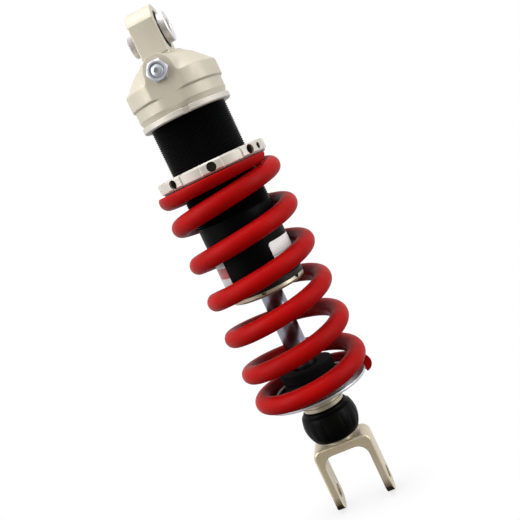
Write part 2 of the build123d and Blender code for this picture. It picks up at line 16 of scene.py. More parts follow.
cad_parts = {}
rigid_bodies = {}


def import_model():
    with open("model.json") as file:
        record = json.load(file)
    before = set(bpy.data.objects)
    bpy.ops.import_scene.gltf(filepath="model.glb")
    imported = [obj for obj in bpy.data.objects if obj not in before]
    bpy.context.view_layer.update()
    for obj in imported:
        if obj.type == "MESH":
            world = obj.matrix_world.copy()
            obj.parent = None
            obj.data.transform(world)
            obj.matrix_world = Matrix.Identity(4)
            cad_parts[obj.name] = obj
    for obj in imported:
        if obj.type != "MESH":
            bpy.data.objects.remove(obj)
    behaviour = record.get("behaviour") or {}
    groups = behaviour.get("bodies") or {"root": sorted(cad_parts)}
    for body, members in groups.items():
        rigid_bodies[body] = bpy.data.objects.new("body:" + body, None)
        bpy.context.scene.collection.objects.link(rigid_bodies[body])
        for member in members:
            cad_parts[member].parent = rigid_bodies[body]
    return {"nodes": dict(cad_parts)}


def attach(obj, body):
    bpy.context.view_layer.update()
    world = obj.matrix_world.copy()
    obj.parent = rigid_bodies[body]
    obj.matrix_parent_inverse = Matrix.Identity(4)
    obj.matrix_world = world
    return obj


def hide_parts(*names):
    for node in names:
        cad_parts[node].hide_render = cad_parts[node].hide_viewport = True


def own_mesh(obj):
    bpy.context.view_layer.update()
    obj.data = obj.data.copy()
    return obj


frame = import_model()

LOG = logging.getLogger("shock_absorber")
MM = 0.001
SAME = 1e-6

Colour = tuple[float, float, float]
Point = tuple[float, float, float]
Outline = list[tuple[float, float]]
Socket = bpy.types.NodeSocket

WHITE: Colour = (1.0, 1.0, 1.0)


def ramp(value: float, start: float, end: float) -> float:
    """Share of the way from a start to an end, held between 0 and 1."""
    return min(max((value - start) / (end - start), 0.0), 1.0)


def soft_max(a: float, b: float, width: float) -> float:
    """The larger of two lengths, with a round fillet of a given width where they cross."""
    mix = max(width - abs(a - b), 0.0) / width
    return max(a, b) + mix * mix * width / 4


def soft_min(a: float, b: float, width: float) -> float:
    """The smaller of two lengths, with the crossing rounded off."""
    return -soft_max(-a, -b, width)


def radius_at(outline: Outline, z: float) -> float:
    """Radius at a height on an outline whose heights fall from point to point."""
    for (r_high, z_high), (r_low, z_low) in zip(outline, outline[1:]):
        if z_low <= z <= z_high:
            return r_high + ramp(z, z_high, z_low) * (r_low - r_high)
    return outline[-1][0]


# ---- node trees -----------------------------------------------------------------------------------------
class Wiring:
    """A node tree, with short calls that add nodes already joined up."""

    def __init__(self, tree: bpy.types.NodeTree) -> None:
        """Takes over a tree and empties it."""
        self.tree = tree
        tree.nodes.clear()

    def feed(self, target: Socket, value: object) -> None:
        """Links a socket to a target, or sets the target's own value.

        Args:
            target: the input.
            value: another node's output, or a value; a colour has three numbers.
        """
        if isinstance(value, Socket):
            self.tree.links.new(value, target)
        else:
            target.default_value = (*value, 1.0) if target.type == "RGBA" else value

    def node(self, kind: str, sockets: dict | None = None, **settings: object) -> bpy.types.Node:
        """Adds a node.

        Args:
            kind: the node's type.
            sockets: what each input is fed, by its name or number.
            settings: the node's own settings.

        Returns:
            The new node.
        """
        made = self.tree.nodes.new(kind)
        for name, value in settings.items():
            setattr(made, name, value)
        for key, value in (sockets or {}).items():
            self.feed(made.inputs[key], value)
        return made

    def maths(self, operation: str, a: object, b: object) -> Socket:
        """A maths node of two values."""
        return self.node("ShaderNodeMath", {0: a, 1: b}, operation=operation).outputs[0]

    def axis(self, name: str, vector: Socket) -> Socket:
        """X, Y or Z of a vector."""
        return self.node("ShaderNodeSeparateXYZ", {0: vector}).outputs[name]

    def span(self, value: Socket, low: float, high: float, to_low: float = 0.0,
             to_high: float = 1.0) -> Socket:
        """A value stretched from one span to another, and held inside it."""
        sockets = {"Value": value, "From Min": low, "From Max": high, "To Min": to_low, "To Max": to_high}
        return self.node("ShaderNodeMapRange", sockets).outputs[0]


class Graph(Wiring):
    """A material's nodes round one Principled shader, placed by object coordinates."""

    def __init__(self, name: str) -> None:
        """Starts a material of that name."""
        self.material = bpy.data.materials.new(name)
        self.material.use_nodes = True
        super().__init__(self.material.node_tree)
        self.shader = self.node("ShaderNodeBsdfPrincipled")
        self.node("ShaderNodeOutputMaterial", {"Surface": self.shader.outputs[0]})
        coordinates = self.node("ShaderNodeTexCoord")
        self.place, self.facing = coordinates.outputs["Object"], coordinates.outputs["Normal"]

    def noise(self, scale: float, detail: float = 3.0, stretch: Point = (1.0, 1.0, 1.0)) -> Socket:
        """Noise from 0 to 1; scale is features per metre."""
        mapped = self.node("ShaderNodeMapping", {"Vector": self.place, "Scale": stretch}).outputs[0]
        sockets = {"Vector": mapped, "Scale": scale, "Detail": detail}
        return self.node("ShaderNodeTexNoise", sockets).outputs["Fac"]

    def patchy(self, scale: float, low: float, high: float, detail: float = 3.0) -> Socket:
        """Soft patches of a value that runs from low to high; scale is patches per metre."""
        return self.span(self.noise(scale, detail), 0.3, 0.7, low, high)

    def off_axis(self) -> Socket:
        """Distance from the long axis, in metres."""
        squares = [self.maths("POWER", self.axis(name, self.place), 2.0) for name in "XY"]
        return self.maths("POWER", self.maths("ADD", *squares), 0.5)

    def between(self, low: float, high: float) -> Socket:
        """1 between two heights in millimetres, and 0 elsewhere."""
        height = self.axis("Z", self.place)
        above = self.maths("GREATER_THAN", height, low * MM)
        return self.maths("MULTIPLY", above, self.maths("LESS_THAN", height, high * MM))

    def blend(self, share: Socket, a: object, b: object, most: float = 1.0) -> Socket:
        """Two colours mixed; at share 1 the second has the most that it may have."""
        strength = share if most == 1.0 else self.maths("MULTIPLY", share, most)
        return self.node("ShaderNodeMix", {0: strength, 6: a, 7: b}, data_type="RGBA").outputs[2]

    def bump(self, height: Socket, depth: float, strength: float, rounding: float = 0.0) -> Socket:
        """A bump of a depth in millimetres, over edges softened by a radius in millimetres."""
        sockets = {"Strength": strength, "Distance": depth * MM, "Height": height}
        if rounding:
            sockets["Normal"] = self.node("ShaderNodeBevel", {"Radius": rounding * MM}, samples=6).outputs[0]
        return self.node("ShaderNodeBump", sockets).outputs[0]

    def finish(self, **sockets: object) -> bpy.types.Material:
        """Feeds the shader's sockets, named with underscores for spaces, and gives the material."""
        for name, value in sockets.items():
            self.feed(self.shader.inputs[name.replace("_", " ")], value)
        return self.material


# ---- finishes -------------------------------------------------------------------------------------------
class Lay(Enum):
    """Direction of the fine marks on a metal piece, as the scale of their grain along X, Y and Z."""

    TURNED = (0.02, 0.02, 1.0)
    CROSS = (1.0, 0.02, 0.02)
    BLASTED = (1.0, 1.0, 1.0)


def darker(colour: Colour, share: float) -> Colour:
    """A colour brought down to a share of itself."""
    return tuple(share * c for c in colour)


@dataclass(frozen=True)
class Metal:
    """Anodised, plated or bare metal, with machining marks and mottling, and in places painted shade inside
    drilled holes or a painted brown reflection on the front tips of the fork.
    """

    name: str
    colour: Colour
    shade: Colour
    roughness: float
    metallic: float
    lay: Lay
    mark_depth: float
    edge_radius: float
    speckle: float = 0.12
    hole_shade_r: float = 0.0
    hole_shade_z: tuple[float, float] = (0.0, 0.0)
    tip_reflection_z: tuple[float, float] = (0.0, 0.0)
    tip_reflection_brown: Colour = (0.07, 0.045, 0.02)

    def build(self) -> bpy.types.Material:
        """Makes the material.

        Returns:
            The new material.
        """
        g = Graph(self.name)
        patches = g.span(g.noise(scale=55.0, detail=4.0), 0.35, 0.68)
        colour = g.blend(patches, self.colour, self.shade, most=0.7)
        colour = g.blend(g.patchy(1500.0, 0.0, self.speckle, detail=2.0), colour, darker(self.shade, 0.72))
        # painted shade: inside the ring's drilled holes the colour is darkened nearly to black
        if self.hole_shade_r:
            colour = g.blend(self.painted_hole_shade(g), colour, darker(self.shade, 0.16))
        # painted reflection: the fork's front-facing tips are turned brown, standing in for a dark reflection
        if self.tip_reflection_z[1]:
            colour = g.blend(self.painted_tip_reflection(g), colour, self.tip_reflection_brown)
        marks = g.noise(scale=2600.0, detail=2.0, stretch=self.lay.value)
        roughness = g.patchy(210.0, self.roughness - 0.05, self.roughness + 0.08)
        normal = g.bump(marks, self.mark_depth, 0.6, self.edge_radius)
        return g.finish(Base_Color=colour, Metallic=self.metallic, Roughness=roughness, Normal=normal)

    def painted_hole_shade(self, g: Graph) -> Socket:
        """Share of painted shade: 1 inside the drilled holes of a ring, where shade falls, and 0 on its
        outside.
        """
        inside = g.span(g.off_axis(), self.hole_shade_r * MM, (self.hole_shade_r - 1.2) * MM)
        return g.maths("MULTIPLY", inside, g.between(*self.hole_shade_z))

    def painted_tip_reflection(self, g: Graph) -> Socket:
        """Share of a painted brown reflection, on the narrow front edges towards the tips of the fork."""
        tip, start = self.tip_reflection_z
        along = g.span(g.axis("Z", g.place), start * MM, tip * MM)
        return g.maths("MULTIPLY", along, g.span(g.axis("Y", g.facing), -0.15, -0.6))


@dataclass(frozen=True)
class Paint:
    """Thick powder coat with orange peel, a pooled tone, small chips, and painted shade on the inner side of
    the coil.
    """

    name: str
    colour: Colour
    deep: Colour
    chip: Colour
    roughness: float
    inner_shade_r: tuple[float, float]

    def build(self) -> bpy.types.Material:
        """Makes the material.

        Returns:
            The new material.
        """
        g = Graph(self.name)
        colour = g.blend(g.span(g.noise(scale=38.0, detail=4.0), 0.35, 0.7), self.colour, self.deep, most=0.6)
        colour = g.blend(g.span(g.noise(scale=420.0, detail=2.0), 0.35, 0.75), colour, self.deep, most=0.18)
        colour = g.blend(g.span(g.noise(scale=260.0, detail=5.0), 0.74, 0.77), colour, self.chip, most=0.5)
        # painted shade: the wire's inner side, facing the tube, is darkened
        start, end = self.inner_shade_r
        painted_inner_shade = g.span(g.off_axis(), start * MM, end * MM)
        colour = g.blend(painted_inner_shade, colour, darker(self.deep, 0.45), most=0.6)
        roughness = g.patchy(90.0, self.roughness - 0.05, self.roughness + 0.09)
        peel = g.bump(g.noise(scale=900.0, detail=1.5), 0.02, 0.5)
        return g.finish(Base_Color=colour, Roughness=roughness, Normal=peel, Specular_IOR_Level=0.07)


@dataclass(frozen=True)
class Black:
    """Black rubber, foam, plastic or anodising: a near-black with its own grain and a little dust."""

    name: str
    colour: Colour
    roughness: float
    grain: float
    grain_depth: float
    dust: float
    edge_radius: float
    specular: float
    dust_colour: Colour = (0.12, 0.11, 0.10)

    def build(self) -> bpy.types.Material:
        """Makes the material.

        Returns:
            The new material.
        """
        g = Graph(self.name)
        dust = g.span(g.noise(scale=120.0, detail=5.0), 0.45, 0.8)
        colour = g.blend(dust, self.colour, self.dust_colour, most=self.dust)
        pores = g.node("ShaderNodeTexVoronoi", {"Vector": g.place, "Scale": self.grain}).outputs["Distance"]
        roughness = g.patchy(180.0, self.roughness - 0.05, self.roughness + 0.1)
        normal = g.bump(pores, self.grain_depth, 0.5, self.edge_radius)
        return g.finish(Base_Color=colour, Roughness=roughness, Normal=normal,
                        Specular_IOR_Level=self.specular)


@dataclass(frozen=True)
class RodChrome:
    """Hard chrome on a ground rod: nearly a mirror, with faint rings and a violet cast."""

    name: str
    colour: Colour
    film: Colour

    def build(self) -> bpy.types.Material:
        """Makes the material.

        Returns:
            The new material.
        """
        g = Graph(self.name)
        colour = g.blend(g.span(g.noise(scale=70.0), 0.35, 0.7), self.colour, self.film, most=0.35)
        rings = g.bump(g.noise(scale=5200.0, detail=1.0, stretch=(0.01, 0.01, 1.0)), 0.001, 0.35)
        roughness = g.patchy(160.0, 0.15, 0.22, detail=2.0)
        return g.finish(Base_Color=colour, Metallic=1.0, Roughness=roughness, Normal=rings)


@dataclass(frozen=True)
class Vinyl:
    """Blank vinyl label with scuffs and a plain band of another colour."""

    name: str
    colour: Colour
    band: Colour
    band_z: tuple[float, float]

    def build(self) -> bpy.types.Material:
        """Makes the material.

        Returns:
            The new material.
        """
        g = Graph(self.name)
        colour = g.blend(g.between(*self.band_z), self.colour, self.band)
        scuff = g.span(g.noise(scale=240.0, detail=4.0), 0.45, 0.8)
        colour = g.blend(scuff, colour, darker(self.colour, 0.6), most=0.2)
        return g.finish(Base_Color=colour, Roughness=0.34, Normal=g.bump(g.noise(scale=700.0), 0.01, 0.3),
                        Coat_Weight=0.2)


CHAMPAGNE = Metal("champagne_anodised", (0.56, 0.515, 0.42), (0.51, 0.465, 0.375), 0.5, 0.3,
                  Lay.BLASTED, 0.006, 0.5)
CAP_CHAMPAGNE = Metal("champagne_turned", (0.62, 0.55, 0.43), (0.52, 0.45, 0.35), 0.34, 0.8,
                      Lay.TURNED, 0.006, 0.3)
# the last value sets where a painted brown reflection darkens the fork's front tips
FORK_TAN = Metal("fork_anodised", (0.66, 0.58, 0.43), (0.58, 0.49, 0.34), 0.3, 0.5, Lay.BLASTED, 0.0002, 0.4,
                 speckle=0.03, tip_reflection_z=(-346.0, -339.0))
# the last two values set where painted shade darkens the insides of the ring's holes
RING_SILVER = Metal("ring_silver", (0.62, 0.59, 0.53), (0.55, 0.52, 0.47), 0.5, 0.35, Lay.TURNED, 0.006, 0.3,
                    hole_shade_r=37.9, hole_shade_z=(-99.9, -92.6))
SEAT_SILVER = Metal("seat_silver", (0.66, 0.68, 0.70), (0.55, 0.57, 0.60), 0.32, 0.9, Lay.TURNED, 0.006, 0.3)
BRIGHT_STEEL = Metal("bright_steel", (0.78, 0.76, 0.77), (0.68, 0.65, 0.65), 0.42, 0.75,
                     Lay.CROSS, 0.0015, 0.3)
VALVE_STEEL = Metal("valve_steel", (0.72, 0.74, 0.80), (0.55, 0.58, 0.66), 0.34, 0.7, Lay.BLASTED, 0.004, 0.2)
BEARING_STEEL = Metal("bearing_steel", (0.50, 0.50, 0.52), (0.36, 0.36, 0.38), 0.28, 1.0,
                      Lay.CROSS, 0.003, 0.2)
BRONZE = Metal("sintered_bronze", (0.50, 0.34, 0.16), (0.36, 0.24, 0.11), 0.4, 1.0, Lay.TURNED, 0.006, 0.2)
# the last value sets where painted shade darkens the wire's inner side
SPRING_RED = Paint("spring_red", (0.39, 0.0022, 0.0016), (0.24, 0.001, 0.0009), (0.12, 0.05, 0.05), 0.44,
                   inner_shade_r=(37.4, 32.5))
TUBE_BLACK = Black("tube_black", (0.001, 0.001, 0.0012), 0.42, 2600.0, 0.004, 0.004, 0.1, 0.045)
GUIDE_BLACK = Black("guide_black", (0.003, 0.003, 0.0035), 0.4, 2400.0, 0.004, 0.02, 0.2, 0.2)
KNOB_BLACK = Black("knob_black", (0.0016, 0.0016, 0.0016), 0.38, 3200.0, 0.01, 0.01, 0.3, 0.06)
RUBBER_BLACK = Black("rubber_black", (0.004, 0.004, 0.004), 0.6, 1800.0, 0.02, 0.04, 0.3, 0.2)
FOAM_BLACK = Black("foam_black", (0.003, 0.003, 0.003), 0.8, 1400.0, 0.06, 0.03, 0.6, 0.12)
ROD_CHROME = RodChrome("rod_chrome", (0.30, 0.29, 0.35), (0.18, 0.17, 0.22))
LABEL_WHITE = Vinyl("label_white", (0.94, 0.94, 0.94), (0.50, 0.50, 0.52), (-166.0, -165.4))
LABEL_GREY = Vinyl("label_grey", (0.55, 0.54, 0.56), (0.40, 0.02, 0.03), (-167.5, -160.0))

Finish = Metal | Paint | Black | RodChrome | Vinyl


# ---- meshes ---------------------------------------------------------------------------------------------
class Workshop:
    """Makes objects from bmeshes and dresses them."""

    @staticmethod
    def place(name: str, data: bpy.types.ID) -> bpy.types.Object:
        """Puts a mesh, lamp or camera in the scene as an object at the origin."""
        made = bpy.data.objects.new(name, data)
        bpy.context.scene.collection.objects.link(made)
        return made

    @staticmethod
    def finish_mesh(bm: bmesh.types.BMesh, name: str, smooth: float = 32.0) -> bpy.types.Object:
        """Merges doubles, turns faces outwards and makes an object.

        Args:
            bm: the bmesh, in metres; it is freed.
            name: the object's name.
            smooth: edges sharper than this angle, in degrees, stay sharp.

        Returns:
            The new object, at the origin.
        """
        bmesh.ops.remove_doubles(bm, verts=bm.verts, dist=SAME)
        bmesh.ops.dissolve_degenerate(bm, dist=SAME / 10, edges=bm.edges)
        bmesh.ops.recalc_face_normals(bm, faces=bm.faces)
        limit = math.radians(smooth)
        for face in bm.faces:
            face.smooth = True
        for edge in bm.edges:
            edge.smooth = not edge.is_manifold or edge.calc_face_angle(0.0) < limit
        mesh = bpy.data.meshes.new(name)
        bm.to_mesh(mesh)
        bm.free()
        return Workshop.place(name, mesh)

    @staticmethod
    def dress(piece: bpy.types.Object, material: bpy.types.Material) -> bpy.types.Object:
        """Gives a piece one material."""
        piece.data.materials.clear()
        piece.data.materials.append(material)
        return piece

    @staticmethod
    def new_verts(grown: dict) -> list[bmesh.types.BMVert]:
        """The points among what an extrusion made."""
        return [part for part in grown["geom"] if isinstance(part, bmesh.types.BMVert)]

    @staticmethod
    def lathe(outline: Outline, steps: int = 144) -> bmesh.types.BMesh:
        """Turns an outline of (radius, height) points a full circle about Z.

        Args:
            outline: points in millimetres; the last joins the first unless both are on the axis.
            steps: facets in the circle.

        Returns:
            The turned bmesh, in metres.
        """
        bm = bmesh.new()
        verts = [bm.verts.new((radius * MM, 0.0, z * MM)) for radius, z in outline]
        pairs = list(zip(verts, verts[1:]))
        if outline[0][0] > 0.0 or outline[-1][0] > 0.0:
            pairs.append((verts[-1], verts[0]))
        edges = [bm.edges.new(pair) for pair in pairs]
        bmesh.ops.spin(bm, geom=verts + edges, cent=(0, 0, 0), axis=(0, 0, 1), angle=math.tau, steps=steps,
                       use_merge=True, use_duplicate=False)
        bmesh.ops.remove_doubles(bm, verts=bm.verts, dist=SAME)
        return bm

    @staticmethod
    def ease(points: Outline, corner: float, segments: int) -> Outline:
        """Rounds every corner of an outline by cutting it back and arcing across.

        Args:
            points: the outline, in millimetres.
            corner: how far each corner is cut back, at most a third of the shorter side.
            segments: pieces in each arc.

        Returns:
            The rounded outline.
        """
        eased: Outline = []
        for before, at, after in zip(points[-1:] + points[:-1], points, points[1:] + points[:1]):
            a, b, c = Vector(before), Vector(at), Vector(after)
            cut = min(corner, (a - b).length / 3, (c - b).length / 3)
            start, end = b + (a - b).normalized() * cut, b + (c - b).normalized() * cut
            for index in range(segments + 1):
                t = index / segments
                eased.append(tuple(start.lerp(b, t).lerp(b.lerp(end, t), t)))
        return eased


# ---- coil spring ----------------------------------------------------------------------------------------
@dataclass
class CoilSpring:
    """Spring whose path follows the two bodies it stands between, so its wire stays round as it shortens."""

    wire_r: float = 6.35
    coil_r: float = 36.6
    turns: float = 6.9
    start: float = 9.0
    end_pitch: float = 10.0
    closed_to_open: tuple[float, float] = (0.5, 1.15)
    sink: float = 0.3
    top: float = -101.0
    bottom: float = -263.1
    stroke: float = 58.0
    seat_r: float = 37.5
    rim_drop: float = 20.0
    points_per_turn: int = 96
    sides: int = 40

    def opened(self, turns: float) -> float:
        """Open turns wound from a tip, with the closed end turn left out."""
        low, high = self.closed_to_open
        t = ramp(turns, low, high)
        return (high - low) * (t ** 3 - t ** 4 / 2) + max(turns - high, 0.0)

    def station(self, turns: float) -> tuple[float, float]:
        """Height of the wire's centre, and how much of the stroke it takes.

        Args:
            turns: turns wound from the lower tip.

        Returns:
            The height in millimetres, and the share, from 1 at the lower tip to 0 at the upper one.
        """
        whole = 2 * self.opened(self.turns / 2)
        climb = self.top - self.bottom + 2 * self.sink
        extra_pitch = (climb - self.end_pitch * self.turns) / whole
        from_tip = min(turns, self.turns - turns)
        rise = self.end_pitch * from_tip + extra_pitch * self.opened(from_tip)
        share = self.opened(from_tip) / whole
        if turns < self.turns / 2:
            return self.bottom - self.sink + rise, 1.0 - share
        return self.top + self.sink - rise, share

    def centreline(self) -> bpy.types.Mesh:
        """A line along the wire's centre, which keeps each point's rest height and share of the stroke.

        Returns:
            The line's mesh.
        """
        count = round(self.turns * self.points_per_turn)
        first = math.radians(self.start)
        bm = bmesh.new()
        rest_z, share = (bm.verts.layers.float.new(name) for name in ("rest_z", "share"))
        tip = bm.verts.new((self.coil_r * math.cos(first) * MM, self.coil_r * math.sin(first) * MM, 0.0))
        bmesh.ops.spin(bm, geom=[tip], cent=(0, 0, 0), axis=(0, 0, 1), dvec=(0, 0, self.turns / count),
                       angle=math.tau * self.turns, steps=count)
        for vert in bm.verts:
            height, vert[share] = self.station(vert.co.z)
            vert[rest_z] = vert.co.z = height * MM
        mesh = bpy.data.meshes.new("coil_spring_wire")
        bm.to_mesh(mesh)
        bm.free()
        return mesh

    @staticmethod
    def at_height(g: Wiring, geometry: Socket, height: Socket) -> Socket:
        """Geometry whose points keep their X and Y and take a new height."""
        here = g.node("GeometryNodeInputPosition").outputs[0]
        there = g.node("ShaderNodeCombineXYZ", {"X": g.axis("X", here), "Y": g.axis("Y", here), "Z": height})
        moved = g.node("GeometryNodeSetPosition", {"Geometry": geometry, "Position": there.outputs[0]})
        return moved.outputs[0]

    def wire(self, material: bpy.types.Material) -> bpy.types.NodeTree:
        """Node group that places the centreline, sweeps the wire and grinds both ends flat.

        Args:
            material: the wire's finish.

        Returns:
            The geometry node tree.
        """
        tree = bpy.data.node_groups.new("spring_wire", "GeometryNodeTree")
        for way in ("INPUT", "OUTPUT"):
            tree.interface.new_socket("Geometry", in_out=way, socket_type="NodeSocketGeometry")
        g = Wiring(tree)
        levels = []
        for body in ("body:rod_assembly", "body:spring_upper_end"):
            info = g.node("GeometryNodeObjectInfo", {"Object": bpy.data.objects[body]},
                          transform_space="ORIGINAL")
            levels.append(g.axis("Z", info.outputs["Location"]))
        travel = g.maths("SUBTRACT", *levels)
        rest_z, share = (
            g.node("GeometryNodeInputNamedAttribute", {"Name": name}, data_type="FLOAT").outputs[0]
            for name in ("rest_z", "share"))
        level = g.maths("ADD", rest_z, g.maths("MULTIPLY", share, travel))
        line = self.at_height(g, g.node("NodeGroupInput").outputs[0], level)
        curve = g.node("GeometryNodeMeshToCurve", {0: line})
        section = g.node("GeometryNodeCurvePrimitiveCircle",
                         {"Resolution": self.sides, "Radius": self.wire_r * MM})
        swept = g.node("GeometryNodeCurveToMesh", {"Curve": curve.outputs[0], "Fill Caps": True,
                                                   "Profile Curve": section.outputs["Curve"]})

        skin = g.node("GeometryNodeInputPosition").outputs[0]
        flat = g.node("ShaderNodeCombineXYZ", {"X": g.axis("X", skin), "Y": g.axis("Y", skin)})
        radius = g.node("ShaderNodeVectorMath", {0: flat.outputs[0]}, operation="LENGTH").outputs["Value"]
        past_rim = g.maths("MULTIPLY", g.maths("GREATER_THAN", radius, self.seat_r * MM), self.rim_drop * MM)
        seat = g.maths("SUBTRACT", g.maths("ADD", travel, self.bottom * MM), past_rim)
        held = g.maths("MAXIMUM", g.maths("MINIMUM", g.axis("Z", skin), self.top * MM), seat)
        ground = self.at_height(g, swept.outputs[0], held)
        smooth = g.node("GeometryNodeSetShadeSmooth", {"Geometry": ground})
        painted = g.node("GeometryNodeSetMaterial", {"Geometry": smooth.outputs[0], "Material": material})
        g.node("NodeGroupOutput", {0: painted.outputs[0]})
        return tree

    def build(self, material: bpy.types.Material) -> bpy.types.Object:
        """Makes the spring, which shortens with the stroke.

        Args:
            material: the wire's finish.

        Returns:
            The spring's object.
        """
        spring = Workshop.dress(Workshop.place("coil_spring_wire", self.centreline()), material)
        spring.modifiers.new("wire", "NODES").node_group = self.wire(material)
        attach(spring, "spring_upper_end")
        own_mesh(spring)
        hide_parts("coil_spring")
        LOG.info("%s rides on spring_upper_end", spring.name)
        return spring


# ---- new pieces -----------------------------------------------------------------------------------------
@dataclass
class HeadCasting:
    """Machined head: cone, two-step drum and a flat valve pad whose flanks blend softly into the drum."""

    drum: Outline = field(default_factory=lambda: [
        (15.0, -16.6), (15.6, -17.3), (22.2, -22.0), (31.9, -31.4), (32.35, -31.9), (32.6, -32.6),
        (32.6, -42.4), (32.45, -42.75), (31.4, -43.6), (31.2, -44.0), (31.2, -50.9), (31.0, -51.3),
        (29.95, -54.3), (29.7, -54.5)])
    socket: Outline = field(default_factory=lambda: [
        (27.05, -54.5), (27.05, -38.45), (22.9, -38.45), (22.9, -38.0), (4.0, -38.0), (4.0, -31.0),
        (0.0, -31.0)])
    ring_step: float = 0.6
    pad_y: float = 30.4
    pad_half: float = 11.2
    pad_top: float = -27.6
    pad_foot: float = -42.2
    pad_fade: float = 1.8
    pad_round: float = 5.0
    rim_round: float = 0.8
    fillets: tuple[float, float] = (4.5, 9.0)
    fillet_z: tuple[float, float] = (-34.0, -22.0)
    pad_tip: float = 0.2
    plain_from: float = 72.5
    on_skin: float = 0.01

    def radius(self, z: float, turn: float) -> float:
        """Distance of the skin from the axis.

        Args:
            z: the height.
            turn: the angle from the front, in radians.

        Returns:
            The distance in millimetres.
        """
        base = radius_at(self.drum, z)
        if abs(turn) > math.radians(self.plain_from):
            return base
        above = max(z - self.pad_top, 0.0)
        half = math.sqrt(max(self.pad_half ** 2 - above ** 2, self.pad_tip ** 2))
        front = self.pad_y / math.cos(turn)
        flank = half / max(abs(math.sin(turn)), 0.001)
        narrow, wide = self.fillets
        fillet = narrow + (wide - narrow) * ramp(z, *self.fillet_z)
        crest = soft_max(base, soft_min(front, flank, self.pad_round), fillet)
        below = ramp(z, self.pad_foot, self.pad_foot - self.pad_fade)
        fade = 1.0 - below * below * (3.0 - 2.0 * below)
        return soft_min(base + (crest - base) * fade, front, self.rim_round)

    def levels(self) -> list[float]:
        """Heights of the skin's rings, from the top: even steps, and every corner of the outline."""
        (_, top), (_, foot) = self.drum[0], self.drum[-1]
        heights = {round(z, 2) for _, z in self.drum}
        rings = int((top - foot) / self.ring_step)
        heights |= {round(top - index * self.ring_step, 2) for index in range(rings)}
        return sorted(heights, reverse=True)

    def build(self, material: bpy.types.Material) -> bpy.types.Object:
        """Makes the head below the eye lug.

        Args:
            material: its finish.

        Returns:
            The head's object.
        """
        skin = [(radius_at(self.drum, z), z) for z in self.levels()]
        bm = Workshop.lathe([(0.0, skin[0][1])] + skin + self.socket, 360)
        for vert in bm.verts:
            radius, z = math.hypot(vert.co.x, vert.co.y) / MM, vert.co.z / MM
            if abs(radius - radius_at(self.drum, z)) > self.on_skin:
                continue
            grown = self.radius(z, math.atan2(vert.co.x, -vert.co.y)) / radius
            vert.co.x *= grown
            vert.co.y *= grown
        return Workshop.dress(Workshop.finish_mesh(bm, "head_casting", 24.0), material)


@dataclass
class EyeLug:
    """Round-topped lug that holds the spherical bearing, flat at front and back."""

    round_r: float = 17.6
    flat: float = 16.2
    half_width: float = 9.3
    foot_z: float = -21.5
    groove: tuple[float, float] = (-17.35, -16.55)
    groove_depth: float = 0.6
    edge: float = 1.1
    edge_curve: Outline = field(default_factory=lambda: [
        (0.0, 1.0), (0.12, 0.55), (0.35, 0.2), (0.65, 0.05), (1.0, 0.0)])
    bore: float = 13.02
    bore_chamfer: float = 0.4
    race_bore: float = 11.52
    counterbore_x: float = 5.78
    sides: int = 720

    def reach(self, angle: float, inset: float) -> float:
        """Distance from the bolt axis to the outline.

        Args:
            angle: the direction, from the back upwards, in radians.
            inset: how far the outline is moved in.

        Returns:
            The distance in millimetres.
        """
        y, z = math.cos(angle), math.sin(angle)
        side = self.flat - inset
        across = max(abs(y), SAME)
        if self.groove[0] < side * z / across < self.groove[1]:
            side -= self.groove_depth
        if z > 0:
            return min(self.round_r - inset, side / across)
        return min(side / across, self.foot_z / min(z, -SAME))

    def place(self, verts: list[bmesh.types.BMVert], x: float, radius: float, inset: float) -> None:
        """Moves a loop's points to a station, each at its own angle about the bolt axis.

        Args:
            verts: the loop's points.
            x: the station's place along the bolt axis.
            radius: a bore's radius, or 0 for the lug's outline.
            inset: how far the outline is moved in.
        """
        for vert in verts:
            angle = math.atan2(vert.co.z, vert.co.y)
            far = radius or self.reach(angle, inset)
            vert.co = (x * MM, math.cos(angle) * far * MM, math.sin(angle) * far * MM)

    def build(self, material: bpy.types.Material) -> bpy.types.Object:
        """Makes the lug with its stepped bore.

        Args:
            material: its finish.

        Returns:
            The lug's object.
        """
        rim = [(self.half_width - self.edge * away, 0.0, self.edge * inset)
               for away, inset in self.edge_curve]
        bores = [(self.half_width, self.bore + self.bore_chamfer),
                 (self.half_width - self.bore_chamfer, self.bore), (self.counterbore_x, self.bore),
                 (self.counterbore_x, self.race_bore)]
        right = rim[::-1] + [(x, radius, 0.0) for x, radius in bores]
        left = [(-x, radius, inset) for x, radius, inset in right]
        stations = right + left[::-1] + right[:1]
        bm = bmesh.new()
        about_bolt = Matrix.Rotation(math.pi / 2, 4, "Y")
        bmesh.ops.create_circle(bm, segments=self.sides, radius=MM, matrix=about_bolt)
        self.place(bm.verts, *stations[0])
        edges = list(bm.edges)
        for station in stations[1:]:
            grown = bmesh.ops.extrude_edge_only(bm, edges=edges)
            edges = [part for part in grown["geom"] if isinstance(part, bmesh.types.BMEdge)]
            self.place(Workshop.new_verts(grown), *station)
        return Workshop.dress(Workshop.finish_mesh(bm, "eye_lug", 26.0), material)


